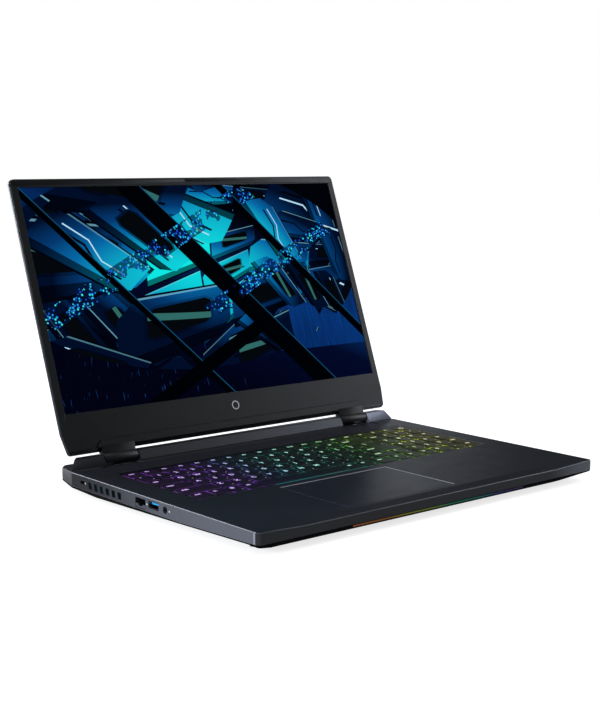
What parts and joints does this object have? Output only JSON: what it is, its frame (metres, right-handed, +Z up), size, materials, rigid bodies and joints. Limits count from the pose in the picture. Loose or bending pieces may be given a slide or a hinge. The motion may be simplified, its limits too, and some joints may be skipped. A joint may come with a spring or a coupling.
{
  "type": "laptop computer",
  "caption": "Open 17.3 inch clamshell laptop with a raised rear hinge ridge, chiclet keyboard with number pad, offset touchpad and coloured front light bar.",
  "frame": {"origin": "on the desk plane under the middle of the open laptop's footprint: mid-width in X, midway from the front edge to the lid's rearmost point in Y", "axes": "+X to the right of someone sitting at it, +Y away from them, +Z up"},
  "size_m": [0.4, 0.3715, 0.277],
  "materials": {
    "deck_metal": "satin dark grey-blue",
    "black_plastic": "matte",
    "housing_paint": "matte, slightly brown",
    "keycap": "matte, lit from below",
    "touchpad_glass": "satin",
    "screen": "lit display",
    "circuit_board": "matte",
    "bare_steel": "brushed",
    "copper": "bare copper",
    "aluminium": "bare",
    "battery_wrap": "matte",
    "rubber": "matte",
    "light_guide": "lit, coloured along its length",
    "blue_plastic": "matte"
  },
  "bodies": {
    "base": {"palm_rest_deck": "deck_metal", "bottom_cover": "black_plastic", "exhaust_housing": "housing_paint", "hinge_ridge": "deck_metal", "motherboard": "circuit_board", "battery_pack": "battery_wrap", "cold_plate": "copper", "ssd_module": "circuit_board", "wireless_card": "circuit_board", "memory_modules": "circuit_board", "speaker_left": "black_plastic", "speaker_right": "black_plastic", "fan_housing_left": "black_plastic", "fan_housing_right": "black_plastic", "heat_pipe_left": "copper", "heat_pipe_right": "copper", "fin_stack_left": "aluminium", "fin_stack_right": "aluminium", "keyboard_plate": "black_plastic", "ethernet_jack": "black_plastic", "audio_jack": "black_plastic", "power_inlet": "black_plastic", "usb_socket_left": "blue_plastic", "usb_socket_right_rear": "blue_plastic", "usb_socket_right_front": "blue_plastic", "hdmi_socket": "bare_steel", "usb_c_socket": "bare_steel", "light_bar": "light_guide", "foot_front_left": "rubber", "foot_front_right": "rubber", "foot_rear": "rubber", "hinge_bracket_left": "bare_steel", "hinge_bracket_right": "bare_steel"},
    "lid": {"lid_back_cover": "deck_metal", "display_bezel": "black_plastic", "lcd_panel": "screen", "webcam_module": "black_plastic", "hinge_cover_strip": "black_plastic", "hinge_arm_left": "bare_steel", "hinge_arm_right": "bare_steel", "display_cable": "black_plastic"},
    "function_row_keys": {"function_row_keys": "keycap"},
    "number_row_keys": {"number_row_keys": "keycap"},
    "upper_row_keys": {"upper_row_keys": "keycap"},
    "home_row_keys": {"home_row_keys": "keycap"},
    "shift_row_keys": {"shift_row_keys": "keycap"},
    "number_pad_second_keys": {"number_pad_second_keys": "keycap"},
    "control_keys_left": {"control_keys_left": "keycap"},
    "space_bar": {"space_bar": "keycap"},
    "control_keys_right": {"control_keys_right": "keycap"},
    "number_pad_front_keys": {"number_pad_front_keys": "keycap"},
    "arrow_up_key": {"arrow_up_key": "keycap"},
    "arrow_left_key": {"arrow_left_key": "keycap"},
    "arrow_down_key": {"arrow_down_key": "keycap"},
    "arrow_right_key": {"arrow_right_key": "keycap"},
    "power_button": {"power_button": "keycap"},
    "touchpad": {"touchpad": "touchpad_glass"},
    "ethernet_jaw": {"ethernet_jaw": "deck_metal"},
    "fan_rotor_left": {"fan_rotor_left": "black_plastic"},
    "fan_rotor_right": {"fan_rotor_right": "black_plastic"}
  },
  "joints": [
    {"name": "lid_hinge", "type": "hinge", "parent": "base", "child": "lid", "pos_m": [0, 0.08884, 0.024], "axis": [-1, 0, 0], "range_deg": [-110.4, 24.6]},
    {"name": "function_row_keys_press", "type": "slide", "parent": "base", "child": "function_row_keys", "axis": [0, 0, -1], "range_m": [0, 0.0016], "stiffness_N_per_m": 300, "springref_m": -0.001},
    {"name": "number_row_keys_press", "type": "slide", "parent": "base", "child": "number_row_keys", "axis": [0, 0, -1], "range_m": [0, 0.0016], "stiffness_N_per_m": 300, "springref_m": -0.001},
    {"name": "upper_row_keys_press", "type": "slide", "parent": "base", "child": "upper_row_keys", "axis": [0, 0, -1], "range_m": [0, 0.0016], "stiffness_N_per_m": 300, "springref_m": -0.001},
    {"name": "home_row_keys_press", "type": "slide", "parent": "base", "child": "home_row_keys", "axis": [0, 0, -1], "range_m": [0, 0.0016], "stiffness_N_per_m": 300, "springref_m": -0.001},
    {"name": "shift_row_keys_press", "type": "slide", "parent": "base", "child": "shift_row_keys", "axis": [0, 0, -1], "range_m": [0, 0.0016], "stiffness_N_per_m": 300, "springref_m": -0.001},
    {"name": "number_pad_second_keys_press", "type": "slide", "parent": "base", "child": "number_pad_second_keys", "axis": [0, 0, -1], "range_m": [0, 0.0016], "stiffness_N_per_m": 300, "springref_m": -0.001},
    {"name": "control_keys_left_press", "type": "slide", "parent": "base", "child": "control_keys_left", "axis": [0, 0, -1], "range_m": [0, 0.0016], "stiffness_N_per_m": 300, "springref_m": -0.001},
    {"name": "space_bar_press", "type": "slide", "parent": "base", "child": "space_bar", "axis": [0, 0, -1], "range_m": [0, 0.0016], "stiffness_N_per_m": 300, "springref_m": -0.001},
    {"name": "control_keys_right_press", "type": "slide", "parent": "base", "child": "control_keys_right", "axis": [0, 0, -1], "range_m": [0, 0.0016], "stiffness_N_per_m": 300, "springref_m": -0.001},
    {"name": "number_pad_front_keys_press", "type": "slide", "parent": "base", "child": "number_pad_front_keys", "axis": [0, 0, -1], "range_m": [0, 0.0016], "stiffness_N_per_m": 300, "springref_m": -0.001},
    {"name": "arrow_up_key_press", "type": "slide", "parent": "base", "child": "arrow_up_key", "axis": [0, 0, -1], "range_m": [0, 0.0016], "stiffness_N_per_m": 300, "springref_m": -0.001},
    {"name": "arrow_left_key_press", "type": "slide", "parent": "base", "child": "arrow_left_key", "axis": [0, 0, -1], "range_m": [0, 0.0016], "stiffness_N_per_m": 300, "springref_m": -0.001},
    {"name": "arrow_down_key_press", "type": "slide", "parent": "base", "child": "arrow_down_key", "axis": [0, 0, -1], "range_m": [0, 0.0016], "stiffness_N_per_m": 300, "springref_m": -0.001},
    {"name": "arrow_right_key_press", "type": "slide", "parent": "base", "child": "arrow_right_key", "axis": [0, 0, -1], "range_m": [0, 0.0016], "stiffness_N_per_m": 300, "springref_m": -0.001},
    {"name": "power_button_press", "type": "slide", "parent": "base", "child": "power_button", "axis": [0, 0, -1], "range_m": [0, 0.0012], "stiffness_N_per_m": 300, "springref_m": -0.001},
    {"name": "touchpad_click", "type": "hinge", "parent": "base", "child": "touchpad", "pos_m": [-0.03155, -0.08416, 0.01965], "axis": [1, 0, 0], "range_deg": [0, 0.3], "stiffness_Nm_per_rad": 24, "springref_deg": -0.09},
    {"name": "ethernet_jaw_drop", "type": "hinge", "parent": "base", "child": "ethernet_jaw", "pos_m": [-0.1993, -0.02956, 0.00975], "axis": [0, -1, 0], "range_deg": [0, 40], "stiffness_Nm_per_rad": 0.01, "springref_deg": -11.46},
    {"name": "fan_left_spin", "type": "hinge", "parent": "base", "child": "fan_rotor_left", "pos_m": [-0.135, 0.00684, 0.0094], "axis": [0, 0, -1], "continuous": true},
    {"name": "fan_right_spin", "type": "hinge", "parent": "base", "child": "fan_rotor_right", "pos_m": [0.135, 0.00684, 0.0094], "axis": [0, 0, 1], "continuous": true}
  ]
}
